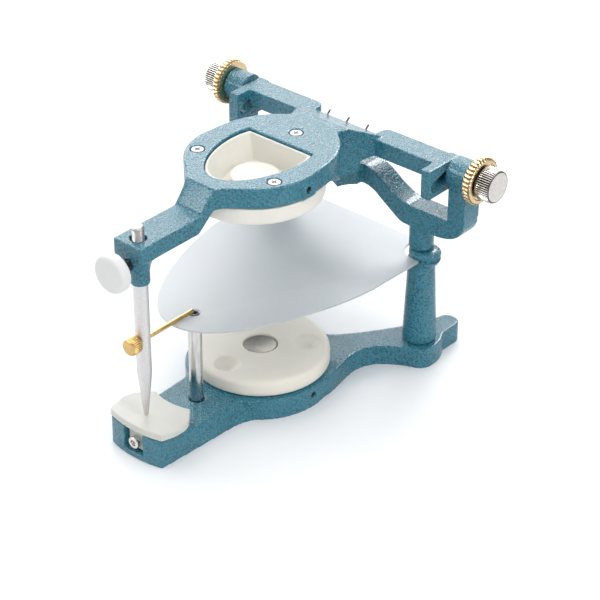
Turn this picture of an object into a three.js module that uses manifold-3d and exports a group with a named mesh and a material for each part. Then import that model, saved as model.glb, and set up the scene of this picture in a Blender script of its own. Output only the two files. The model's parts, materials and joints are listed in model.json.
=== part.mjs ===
// Dental articulator: a cast lower frame with two rear posts and a condylar yoke, and a cast upper frame
// that hinges and slides on two condyle balls. Millimetres, +Z up, +Y towards the hinge (rear), +X to the
// right of someone facing the hinge. Every height is measured from the surface that the base stands on.
import * as THREE from "three";
import { mergeVertices } from "three/addons/utils/BufferGeometryUtils.js";
import Module from "manifold-3d";

const wasm = await Module();
wasm.setup();

// ---------------------------------------------------------------- driving dimensions
const GAP = 0.3; // running and assembly gap between neighbouring pieces

const BASE = {
  thickness: 10, // ring and rear arms
  front: -80.5, // middle of the bowed front face
  bow: 2.2, // how far its corners lie behind the middle
  frontHalf: 15.1,
  frontTop: 13.8, // the block under the guide table
  blockRear: -63.5,
  stemFront: -57, // the stem's low top starts here, behind the block's slope
  stemTop: 10.5,
  stemHalf: 17.2,
  lean: 0.0043, // how fast the stem's sides lean in, for each millimetre behind the front face
  ringCentre: -0.7,
  ringRadius: 33,
  notchHalf: 5.3, // slot in the front face for the table's tongue
  notchFloor: 2.8,
  notchRear: -72.7,
};
const WINDOW = { half: 18.1, rear: 15, front: -27.4 }; // D-shaped window of both rings
const LOWER_PLATE = { radius: 31, thickness: 7.7, centre: 0.6 };
const UPPER_PLATE = { radius: 30.2, thickness: 8.1, centre: -1.7 };
const PLATE = {
  round: 2.4,
  collar: 8.6, // how far it stands into the window
  collarWall: 1,
  pocketFloor: 3.9,
  bossRadius: 10.7,
  bossTop: 0.6,
  magnetRadius: 7.5,
  magnetHeight: 3.8,
  magnetSunk: 0.6,
};
const DIMPLE = { radius: 6, depth: 3, spots: [[0, -21.3], [15.3, 15.1], [-15.3, 15.1]] };
const PLATE_SCREW = {
  circle: 25.4,
  centre: -0.7,
  head: 2.85,
  headHeight: 1.7,
  shank: 1.4,
  reach: 2.4,
  sunk: 0.2, // head below the ring's outer face
};
const POST = {
  x: 42.3,
  y: 61,
  foot: 7.8,
  neck: 5.6,
  neckX: 41.8, // the yoke's neck stands a little nearer the middle than the post
  coneTop: 49.4,
  coneTopRadius: 6.2,
  beadRadius: 7.4,
  beadOffset: 1.9, // the bead bulges to the outer side
  beadWidest: 54.4,
  beadTop: 57.4,
  grooveMiddle: 53.7,
  grooveRadius: 5.9, // slit that the occlusal plate slips into
  grooveHalf: 0.85,
  spigot: 3,
  spigotTop: 66,
};
const FRONT_POST = { y: -41, radius: 3, stub: 2.3, socket: 4.2 };
const CONDYLE = { y: 60.8, z: 101.7, boss: 7.1, bossEnd: 69.4, screw: 2.6, ball: 2.25, nose: 1.3 };
const BALL_ARC = 44; // degrees either side of the ball's middle
const YOKE = { depth: 10.6, inner: 59.2, outer: 68.4, floor: 79.2, bottom: 69, bridgeTop: 90.5 };
const LUG = { half: 11.5, front: 52.5, tip: 75.6, side: 81.1 }; // thick middle of the yoke's bridge
const SLOT = { half: 2.5, length: 12.3, slopeDegrees: 17 };
const CHEEK = { inner: 52.5, outer: 57.5, front: 44.9, rear: 66.4, bottom: 93 }; // slotted end plates
const UPPER = {
  ringRadius: 30,
  ringBottom: 104.7,
  ringTop: 114.2,
  barFront: 52.8,
  barRear: 64.5,
  barBottom: 98.5,
  barTop: 106.8,
  notchHalf: 17.5, // recess in the rear of the crossbar
  notchY: 57.5,
  notchRound: 4,
  plateauRear: 41.5,
  neckRear: 47.3, // the neck hangs down between the ring and the crossbar
  neckBottom: 90.8,
  armHalf: 7.8,
  armFront: -78.3,
  armTop: 104.7,
  armBottom: 97,
};
const PIN = { y: -71.7, radius: 3.2, bore: 3.5, tip: 17.65, tipRadius: 1, coneTop: 40.5 };
const PIN_TOP = { shoulder: 103.4, radius: 2.6, end: 110.2 };
const PIN_BOSS = { radius: 4.2, bottom: 83.3, straight: 89.5, flare: 7.6 };
const CLAMP = { z: 94.8, knobRadius: 8.5, knobRear: -84.2, knobFront: -89.5, round: 1.5, stud: 2 };
const POINTER = { z: 55.5, rod: 1, bore: 1.25, tip: -41.8, head: 3.9, headRear: -75.3, headFront: -80.4 };
const TABLE = { half: 15.1, rear: -57.7, shoulder: 15.7, shoulderY: -62.2, frontTop: 17.6, rearTop: 16.7 };
const TONGUE = { half: 5, front: -77.6, rear: -73.1, bottom: 3.2 };
const TABLE_SCREW = { z: 7.4, head: 2.75, headHeight: 2.5, shank: 1.25, rear: -64 };
const SHEET = { top: 54.1, bottom: 53.2, hole: 2.8, front: -53.8, rear: 69.4 };
const LOCK_NUT = { radius: 10.8, teeth: 34, tooth: 0.5, inner: 69.8, outer: 74 };
const THUMB = { radius: 7.5, teeth: 46, tooth: 0.3, inner: 74.3, outer: 81.4 };
const GRUB = { bore: 1.5, radius: 1.3, length: 5, inner: 21.5 };
const LOWER_GRUB = { y: -1.2, z: 5.8 };
const UPPER_GRUB = { y: -2, z: 108.4, padHalf: 4.2, padTop: 111.5, padRound: 2.5, padOuter: 30.9 };
const HOOK = { spacing: 11, radius: 0.6, length: 5.2, leanDegrees: 35, y: 56.4, z: 104.6 };

// ---------------------------------------------------------------- solids from three.js shapes
function toSolid(geometry) {
  const bare = geometry.clone();
  bare.deleteAttribute("normal");
  bare.deleteAttribute("uv");
  const merged = mergeVertices(bare, 1e-4);
  const vertProperties = new Float32Array(merged.getAttribute("position").array);
  const triVerts = new Uint32Array(merged.index.array);
  return new wasm.Manifold(new wasm.Mesh({ numProp: 3, vertProperties, triVerts }));
}

function toGeometry(solid) {
  const mesh = solid.getMesh();
  const geometry = new THREE.BufferGeometry();
  geometry.setAttribute("position", new THREE.BufferAttribute(mesh.vertProperties, 3));
  geometry.setIndex(new THREE.BufferAttribute(mesh.triVerts, 1));
  geometry.computeVertexNormals();
  return geometry;
}

function extrude(shape, depth, curveSegments) {
  return new THREE.ExtrudeGeometry(shape, { depth, bevelEnabled: false, curveSegments });
}

// A plan outline (x, y) raised from one height to another.
function upright(shape, low, high, curveSegments = 16) {
  return toSolid(extrude(shape, high - low, curveSegments).translate(0, 0, low));
}

// A front outline (x, z) run from one y to another.
function alongY(shape, front, rear, curveSegments = 12) {
  return toSolid(extrude(shape, rear - front, curveSegments).rotateX(Math.PI / 2).translate(0, rear, 0));
}

// A side outline (y, z) run from one x to another.
function alongX(shape, low, high, curveSegments = 12) {
  const run = extrude(shape, high - low, curveSegments).rotateX(Math.PI / 2).rotateZ(Math.PI / 2);
  return toSolid(run.translate(low, 0, 0));
}

function polygon(points) {
  return new THREE.Shape(points.map(([a, b]) => new THREE.Vector2(a, b)));
}

function rectangle(left, low, right, high) {
  return polygon([[left, low], [right, low], [right, high], [left, high]]);
}

function circle(radius, x = 0, y = 0) {
  return new THREE.Shape().absarc(x, y, radius, 0, 2 * Math.PI, false);
}

// A turned piece: profile pairs (radius, height) from the bottom up, about the Z axis.
function turned(profile, segments = 40) {
  const points = profile.map(([r, z]) => new THREE.Vector2(r, z));
  return toSolid(new THREE.LatheGeometry(points, segments).rotateX(Math.PI / 2));
}

const rod = (radius, low, high, segments = 32) =>
  turned([[0, low], [radius, low], [radius, high], [0, high]], segments);
const rodOnX = (radius, low, high, segments) => rod(radius, low, high, segments).rotate([0, 90, 0]);
// Along -Y: profile heights run forwards from the axis.
const turnedOnFront = (profile, segments) => turned(profile, segments).rotate([90, 0, 0]);
const rodOnFront = (radius, low, high, segments) => rod(radius, low, high, segments).rotate([90, 0, 0]);

// Points of a quarter round between a straight side and an end, for a turned profile.
function quarterRound(centreR, centreZ, radius, fromDegrees, toDegrees, steps = 5) {
  const points = [];
  for (let i = 0; i <= steps; i++) {
    const angle = THREE.MathUtils.degToRad(fromDegrees + ((toDegrees - fromDegrees) * i) / steps);
    points.push([centreR + radius * Math.cos(angle), centreZ + radius * Math.sin(angle)]);
  }
  return points;
}

// A knurled rim: one ridge and one furrow per tooth.
function knurl(radius, teeth, depth) {
  const points = [];
  for (let i = 0; i < 2 * teeth; i++) {
    const angle = (Math.PI * i) / teeth;
    const r = i % 2 ? radius : radius - depth;
    points.push([r * Math.cos(angle), r * Math.sin(angle)]);
  }
  return polygon(points);
}

// A round knurled head with bevelled rims, standing on the Z axis.
function knurledHead(radius, teeth, depth, low, high, bevel) {
  const rim = [[radius - bevel, low], [radius, low + bevel], [radius, high - bevel], [radius - bevel, high]];
  const bevelled = turned([[0, low], ...rim, [0, high]], teeth);
  return upright(knurl(radius, teeth, depth), low - 1, high + 1).intersect(bevelled);
}

const hexagon = (acrossFlats) =>
  polygon(
    [0, 1, 2, 3, 4, 5].map((i) => {
      const angle = (Math.PI * i) / 3;
      const corner = acrossFlats / Math.sqrt(3);
      return [corner * Math.cos(angle), corner * Math.sin(angle)];
    }),
  );

const bothSides = (solid) => solid.add(solid.mirror([1, 0, 0]));

// The whole outline of a piece that is the same left and right, from its right half: a path that starts
// and ends on the middle line and runs anticlockwise.
function symmetric(half, divisions) {
  const right = half.getPoints(divisions);
  const left = right
    .filter((point) => point.x > 0)
    .reverse()
    .map((point) => new THREE.Vector2(-point.x, point.y));
  return new THREE.Shape([...right, ...left]);
}

// ---------------------------------------------------------------- shared outlines
// The D-shaped window, pulled in all round by inset: straight across the rear, pointed oval to the front.
function windowOutline(inset = 0) {
  const half = WINDOW.half - inset;
  const rear = WINDOW.rear - inset;
  const front = WINDOW.front + inset;
  const belly = 23.2 - inset;
  const shape = new THREE.Shape();
  shape.moveTo(half, rear);
  shape.lineTo(-half, rear);
  shape.bezierCurveTo(-belly, -2, -13, front, 0, front);
  shape.bezierCurveTo(13, front, belly, -2, half, rear);
  return shape;
}

const screwSpots = [-31, 90, 211].map((degrees) => {
  const angle = THREE.MathUtils.degToRad(degrees);
  return [PLATE_SCREW.circle * Math.cos(angle), PLATE_SCREW.centre + PLATE_SCREW.circle * Math.sin(angle)];
});

// ---------------------------------------------------------------- lower frame
// Right half of the bowed front stem's foot, which widens into the ring behind it.
function stemOutline() {
  const half = new THREE.Shape();
  const corner = BASE.front + BASE.bow;
  half.moveTo(0, BASE.front);
  half.quadraticCurveTo(BASE.frontHalf / 2, BASE.front, BASE.frontHalf - 0.8, corner - 0.2);
  half.quadraticCurveTo(BASE.frontHalf, corner, BASE.frontHalf, corner + 0.8);
  half.lineTo(BASE.stemHalf, -38);
  half.quadraticCurveTo(BASE.stemHalf + 0.3, -31, BASE.stemHalf + 3.8, -26);
  half.lineTo(BASE.stemHalf, -20);
  half.lineTo(0, -20);
  return half;
}

// The stem: its sides lean in towards the top, and its top drops from the front block to the ring.
function makeStem() {
  const leaning = extrude(symmetric(stemOutline(), 6), BASE.frontTop, 6);
  const at = leaning.getAttribute("position");
  for (let i = 0; i < at.count; i++) {
    if (at.getZ(i) > 0) {
      at.setX(i, at.getX(i) * (1 - BASE.lean * (at.getY(i) - BASE.front)));
    }
  }
  const above = polygon([
    [BASE.blockRear, BASE.frontTop],
    [BASE.stemFront, BASE.stemTop],
    [-30, BASE.thickness],
    [-10, BASE.thickness],
    [-10, 30],
    [BASE.blockRear, 30],
  ]);
  return toSolid(leaning).subtract(alongX(above, -30, 30));
}

// Right half of the two rear arms, which leave the ring in one smooth line and spread to the posts.
function rearArmOutline() {
  const arm = new THREE.Shape();
  arm.moveTo(0, 5);
  arm.lineTo(32.3, 5);
  arm.bezierCurveTo(33.4, 18, 24.5, 31, 32.2, 41.1);
  arm.quadraticCurveTo(38, 47.5, 46, 50.5);
  arm.quadraticCurveTo(52.6, 52.6, 52.6, 58.5);
  arm.quadraticCurveTo(52.6, 65, 48.6, 71);
  arm.lineTo(48.8, 80.5);
  arm.bezierCurveTo(48.8, 86.3, 38.8, 86.3, 38.8, 80.5);
  arm.lineTo(36.5, 72);
  arm.quadraticCurveTo(31, 62.3, 24, 52);
  arm.quadraticCurveTo(16, 40.2, 10.6, 35.9);
  arm.quadraticCurveTo(7.4, 33.5, 0, 33.5);
  return arm;
}

function makeBase() {
  const ring = upright(circle(BASE.ringRadius, 0, BASE.ringCentre), 0, BASE.thickness, 32);
  const arms = upright(symmetric(rearArmOutline(), 8), 0, BASE.thickness);
  let base = makeStem().add(ring).add(arms);

  const window = upright(windowOutline(), -1, BASE.thickness + 1);
  const notchPlan = rectangle(-BASE.notchHalf, BASE.front - 1, BASE.notchHalf, BASE.notchRear);
  const notch = upright(notchPlan, BASE.notchFloor, 20);
  const screwHole = rodOnFront(TABLE_SCREW.shank + GAP, 62, 80).translate([0, 0, TABLE_SCREW.z]);
  const postSocket = rod(FRONT_POST.radius + GAP, FRONT_POST.socket, 20).translate([0, FRONT_POST.y, 0]);
  const grubHole = rodOnX(GRUB.bore, 16, 40, 16).translate([0, LOWER_GRUB.y, LOWER_GRUB.z]);
  base = base.subtract(window).subtract(notch).subtract(screwHole).subtract(postSocket).subtract(grubHole);

  for (const [x, y] of screwSpots) {
    const head = rod(PLATE_SCREW.head + GAP, -1, PLATE_SCREW.sunk + PLATE_SCREW.headHeight + GAP, 24);
    const shank = rod(PLATE_SCREW.shank + GAP, -1, 20, 16);
    base = base.subtract(head.add(shank).translate([x, y, 0]));
  }
  const postScrew = rod(4.5, -1, 5.8).add(rod(2.6, -1, 20));
  return base.subtract(bothSides(postScrew.translate([POST.x, POST.y, 0])));
}

function makeRearPost(side) {
  const low = BASE.thickness + GAP;
  const cone = turned(
    [
      [0, low],
      [POST.foot, low],
      [POST.coneTopRadius, POST.coneTop],
      [POST.coneTopRadius, POST.grooveMiddle],
      [POST.neck, POST.beadTop],
      [POST.spigot, POST.beadTop],
      [POST.spigot, POST.spigotTop],
      [0, POST.spigotTop],
    ],
    32,
  );
  const bead = turned(
    [
      [0, POST.coneTop],
      [4.7, POST.coneTop],
      [6.2, 50.6],
      [7.1, 52.4],
      [POST.beadRadius, POST.beadWidest],
      [POST.beadRadius - 0.4, 56],
      [6, 57],
      [4.6, POST.beadTop],
      [0, POST.beadTop],
    ],
    32,
  ).translate([POST.beadOffset, 0, 0]);
  const grooveLow = POST.grooveMiddle - POST.grooveHalf;
  const grooveHigh = POST.grooveMiddle + POST.grooveHalf;
  const groove = rod(12, grooveLow, grooveHigh)
    .subtract(rod(POST.grooveRadius, grooveLow - 1, grooveHigh + 1).translate([POST.beadOffset, 0, 0]));
  const screwHole = rod(2.6, 0, 23);
  const post = cone.add(bead).subtract(groove).subtract(screwHole).translate([POST.x, POST.y, 0]);
  return side > 0 ? post : post.mirror([1, 0, 0]);
}

function makePostScrew(side) {
  const socket = upright(hexagon(4), -1, 3.2);
  const screw = rod(4.2, 1.3, 5.5).add(rod(2.3, 1.3, 22, 24)).subtract(socket);
  return screw.translate([side * POST.x, POST.y, 0]);
}

// Half of the yoke's front outline: bridge, sloping limb, U-shaped pocket and upright arm.
function makeYoke() {
  const half = new THREE.Shape();
  half.moveTo(0, 81);
  half.lineTo(13, 81);
  half.quadraticCurveTo(18, 80.4, 21, 77.8);
  half.lineTo(32.2, 70.2);
  half.quadraticCurveTo(34, YOKE.bottom, 38.5, YOKE.bottom);
  half.lineTo(55.5, YOKE.bottom + 0.3);
  half.bezierCurveTo(63.5, YOKE.bottom + 1.2, YOKE.outer, 74, YOKE.outer, 81);
  half.lineTo(YOKE.outer, CONDYLE.z);
  half.lineTo(YOKE.inner, CONDYLE.z);
  half.lineTo(YOKE.inner, YOKE.floor + 0.8);
  half.quadraticCurveTo(YOKE.inner, YOKE.floor, YOKE.inner - 0.8, YOKE.floor);
  half.lineTo(38, YOKE.floor);
  half.quadraticCurveTo(31.5, 80.2, 26, 84.2);
  half.lineTo(20.5, 88);
  half.quadraticCurveTo(16, YOKE.bridgeTop, 10, YOKE.bridgeTop);
  half.lineTo(0, YOKE.bridgeTop);
  const front = CONDYLE.y - YOKE.depth / 2;
  const neck = rod(POST.neck, POST.beadTop + GAP, YOKE.bottom + 3).translate([POST.neckX, POST.y, 0]);
  const boss = rodOnX(CONDYLE.boss, YOKE.inner - 0.3, CONDYLE.bossEnd, 36);
  const bore = rodOnX(CONDYLE.screw + GAP, 50, 80, 24);
  const ends = bothSides(boss.subtract(bore).translate([0, CONDYLE.y, CONDYLE.z]));
  const spigotHole = rod(POST.spigot + GAP, 50, POST.spigotTop + 0.4, 24).translate([POST.x, POST.y, 0]);
  const plate = alongY(symmetric(half, 6), front, front + YOKE.depth);
  const bores = bothSides(bore.translate([0, CONDYLE.y, CONDYLE.z])).add(bothSides(spigotHole));
  return plate.add(makeLug()).add(bothSides(neck)).subtract(bores).add(ends);
}

// The thick middle of the bridge stands forward of it and comes to a blunt point below.
function makeLug() {
  const half = new THREE.Shape();
  half.moveTo(0, LUG.tip);
  half.quadraticCurveTo(LUG.half * 0.35, LUG.tip + 2.8, LUG.half, LUG.side);
  half.lineTo(LUG.half, YOKE.bridgeTop - 0.2);
  half.lineTo(0, YOKE.bridgeTop - 0.2);
  return alongY(symmetric(half, 6), LUG.front, CONDYLE.y);
}

function makeFrontPost() {
  const shoulder = SHEET.bottom - GAP;
  const stubTop = SHEET.top - 0.2;
  return turned([
    [0, FRONT_POST.socket + GAP],
    [FRONT_POST.radius, FRONT_POST.socket + GAP],
    [FRONT_POST.radius, shoulder],
    [FRONT_POST.stub, shoulder],
    [FRONT_POST.stub, stubTop],
    [0, stubTop],
  ]).translate([0, FRONT_POST.y, 0]);
}

// Right half of the guide table: its front edge follows the bow of the base, and its rear edge curves in.
function tableOutline() {
  const half = new THREE.Shape();
  const corner = BASE.front + BASE.bow;
  half.moveTo(0, BASE.front);
  half.quadraticCurveTo(TABLE.half / 2, BASE.front, TABLE.half, corner);
  half.bezierCurveTo(TABLE.half + 2.3, corner + 5.8, 18.5, -66.5, TABLE.shoulder, TABLE.shoulderY);
  half.lineTo(11.2, -56.6);
  half.quadraticCurveTo(10.4, -55.7, 9.2, -56);
  half.quadraticCurveTo(4.5, TABLE.rear, 0, TABLE.rear);
  return half;
}

function makeGuideTable() {
  const low = BASE.frontTop + GAP;
  const front = BASE.front - 1;
  const above = polygon([[front, TABLE.frontTop], [-55, TABLE.rearTop], [-55, 30], [front, 30]]);
  const plate = upright(symmetric(tableOutline(), 8), low, 20).subtract(alongX(above, -30, 30));
  const stem = rectangle(-TONGUE.half, TONGUE.front, TONGUE.half, TONGUE.rear);
  const tongue = upright(stem, TONGUE.bottom, low + 1);
  const hole = rodOnFront(TABLE_SCREW.shank + GAP, 70, 80, 20).translate([0, 0, TABLE_SCREW.z]);
  return plate.add(tongue).subtract(hole);
}

function makeTableScrew() {
  const headRear = -TONGUE.front + GAP;
  const headFront = headRear + TABLE_SCREW.headHeight;
  const rim = [[TABLE_SCREW.head, headRear], [TABLE_SCREW.head, headFront - 0.3], [2.45, headFront]];
  const head = turnedOnFront([[0, headRear], ...rim, [0, headFront]], 32);
  const shank = rodOnFront(TABLE_SCREW.shank, -TABLE_SCREW.rear, headRear + 0.5, 20);
  const socket = upright(hexagon(2.5), headFront - 1.4, headFront + 1).rotate([90, 0, 0]);
  return head.add(shank).subtract(socket).translate([0, 0, TABLE_SCREW.z]);
}

// A mounting plate: its working face looks up, and its collar and open pocket hang into the ring's window.
function makeMountingPlate({ radius, thickness, centre }) {
  const profile = [[0, 0], [radius - 0.4, 0], [radius, 0.4]];
  profile.push(...quarterRound(radius - PLATE.round, thickness - PLATE.round, PLATE.round, 0, 90, 3));
  profile.push([0, thickness]);
  const disc = turned(profile, 60).translate([0, centre, 0]);
  const collar = upright(windowOutline(GAP), -PLATE.collar, 1, 10);

  // The pocket narrows towards its floor: its lowest points are drawn in towards the middle of the window.
  const pocketDepth = PLATE.pocketFloor + PLATE.collar + 1;
  const pocketOutline = windowOutline(GAP + PLATE.collarWall);
  const pocket = extrude(pocketOutline, pocketDepth, 10).translate(0, 0, -PLATE.collar - 1);
  const at = pocket.getAttribute("position");
  for (let i = 0; i < at.count; i++) {
    if (at.getZ(i) > 0) {
      at.setX(i, at.getX(i) * 0.82);
      at.setY(i, (at.getY(i) - WINDOW.rear) * 0.86 + WINDOW.rear - 0.6);
    }
  }
  const boss = rod(PLATE.bossRadius, -PLATE.bossTop, PLATE.pocketFloor + 1, 36).translate([0, centre, 0]);
  const recessFloor = thickness - PLATE.magnetSunk - PLATE.magnetHeight - GAP;
  const recess = rod(PLATE.magnetRadius + GAP, recessFloor, 20, 36).translate([0, centre, 0]);
  let plate = disc.add(collar).subtract(toSolid(pocket)).add(boss).subtract(recess);
  for (const [x, y] of DIMPLE.spots) {
    const low = thickness - DIMPLE.depth;
    const wall = [[2.2, low + 0.35], [DIMPLE.radius, thickness], [DIMPLE.radius, 20]];
    plate = plate.subtract(turned([[0, low], ...wall, [0, 20]], 24).translate([x, y, 0]));
  }
  const screwHole = rod(PLATE_SCREW.shank + GAP, -1, PLATE_SCREW.reach + GAP, 16);
  for (const [x, y] of screwSpots) {
    plate = plate.subtract(screwHole.translate([x, y, 0]));
  }
  return plate;
}

function makeMagnet({ thickness, centre }) {
  const high = thickness - PLATE.magnetSunk;
  const low = high - PLATE.magnetHeight;
  const { magnetRadius } = PLATE;
  const wall = [[magnetRadius, low], [magnetRadius, high - 0.4], [magnetRadius - 0.4, high]];
  return turned([[0, low], ...wall, [0, high]], 36).translate([0, centre, 0]);
}

// A plate screw with its head on the ring's outer face: it points along +Z from headLow.
function makePlateScrew([x, y], ringThickness) {
  const headLow = PLATE_SCREW.sunk - GAP - ringThickness;
  const head = rod(PLATE_SCREW.head, headLow, headLow + PLATE_SCREW.headHeight, 28);
  const shank = rod(PLATE_SCREW.shank, headLow + 0.5, PLATE_SCREW.reach, 16);
  const slot = upright(rectangle(-5, -0.35, 5, 0.35), headLow - 1, headLow + 0.6);
  return head.add(shank).subtract(slot).translate([x, y, 0]);
}

function makeGrubScrew({ y, z }) {
  const socket = upright(hexagon(1.5), GRUB.length - 1.6, GRUB.length + 1);
  const screw = rod(GRUB.radius, 0, GRUB.length, 16).subtract(socket);
  return screw.rotate([0, 90, 0]).translate([GRUB.inner, y, z]);
}

// Occlusal plane sheet: rounded triangle that hangs on the front post and in the slits of the rear posts.
function makeSheet() {
  const tip = [45.9, 54.7];
  const notch = { x: 41.6, y: 63.3, radius: 8.6 };
  const half = new THREE.Shape();
  half.moveTo(0, SHEET.front);
  half.bezierCurveTo(12.5, SHEET.front, 21.5, -43, 29, -28.5);
  half.bezierCurveTo(35.5, -16, 43.5, 6, 44.9, 24);
  half.lineTo(tip[0], tip[1] - 1);
  half.lineTo(tip[0] - 0.4, tip[1]);
  half.lineTo(notch.x, tip[1]);
  half.absarc(notch.x, notch.y, notch.radius, -Math.PI / 2, -Math.PI, true);
  half.quadraticCurveTo(notch.x - notch.radius, SHEET.rear, 29, SHEET.rear);
  half.lineTo(0, SHEET.rear);
  const hole = rod(SHEET.hole, 40, 60).translate([0, FRONT_POST.y, 0]);
  return upright(symmetric(half, 8), SHEET.bottom, SHEET.top).subtract(hole);
}

// ---------------------------------------------------------------- upper frame
function ringOutline() {
  const half = new THREE.Shape();
  const centre = UPPER_PLATE.centre - 0.2;
  half.moveTo(0, centre - UPPER.ringRadius);
  half.absarc(0, centre, UPPER.ringRadius, -Math.PI / 2, THREE.MathUtils.degToRad(10), false);
  half.bezierCurveTo(29.5, 20, 22.5, 30, 13.6, 36.2);
  half.quadraticCurveTo(15.2, 44, 21, UPPER.barFront + 0.6);
  half.lineTo(21, UPPER.notchY);
  half.lineTo(0, UPPER.notchY);
  return half;
}

function makeSlottedCheek() {
  const round = 5;
  const side = new THREE.Shape();
  side.moveTo(CHEEK.front, CHEEK.bottom);
  side.lineTo(CHEEK.rear - round, CHEEK.bottom);
  side.quadraticCurveTo(CHEEK.rear, CHEEK.bottom, CHEEK.rear, CHEEK.bottom + round);
  side.lineTo(CHEEK.rear, UPPER.barTop - 2);
  side.quadraticCurveTo(CHEEK.rear, UPPER.barTop, CHEEK.rear - 2, UPPER.barTop);
  side.lineTo(CHEEK.front, UPPER.barTop);
  return alongX(side, CHEEK.inner, CHEEK.outer, 6);
}

// The slot that the condyle ball runs in: from the hinge axis forwards and down, through the cheek only.
function makeCondyleSlot() {
  const slot = new THREE.Shape();
  slot.absarc(0, 0, SLOT.half, -Math.PI / 2, Math.PI / 2, false);
  slot.absarc(-SLOT.length, 0, SLOT.half, Math.PI / 2, (3 * Math.PI) / 2, false);
  const slope = THREE.MathUtils.degToRad(SLOT.slopeDegrees);
  const cut = extrude(slot, 10, 10).rotateZ(slope).rotateX(Math.PI / 2).rotateZ(Math.PI / 2);
  return toSolid(cut.translate(CHEEK.inner, CONDYLE.y, CONDYLE.z));
}

// Fillets that carry the ring's outline into the sides of the front arm, cut off by the arm's front slope.
function makeArmWebs(armSide) {
  const half = new THREE.Shape();
  half.moveTo(0, -38);
  half.lineTo(UPPER.armHalf, -38);
  half.quadraticCurveTo(UPPER.armHalf + 0.6, -33.8, 11.8, -31);
  half.lineTo(15.8, -27.4);
  half.lineTo(15.8, -22);
  half.lineTo(0, -22);
  return upright(symmetric(half, 6), UPPER.ringBottom, UPPER.ringTop).intersect(alongX(armSide, -20, 20));
}

// Flat pad with rounded upper corners on the ring's right side, around the grub screw.
function makeGrubPad() {
  const { y, padHalf, padTop, padRound, padOuter } = UPPER_GRUB;
  const pad = new THREE.Shape();
  pad.moveTo(y - padHalf, UPPER.ringBottom);
  pad.lineTo(y + padHalf, UPPER.ringBottom);
  pad.lineTo(y + padHalf, padTop - padRound);
  pad.quadraticCurveTo(y + padHalf, padTop, y + padHalf - padRound, padTop);
  pad.lineTo(y - padHalf + padRound, padTop);
  pad.quadraticCurveTo(y - padHalf, padTop, y - padHalf, padTop - padRound);
  return alongX(pad, 24, padOuter, 5);
}

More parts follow.
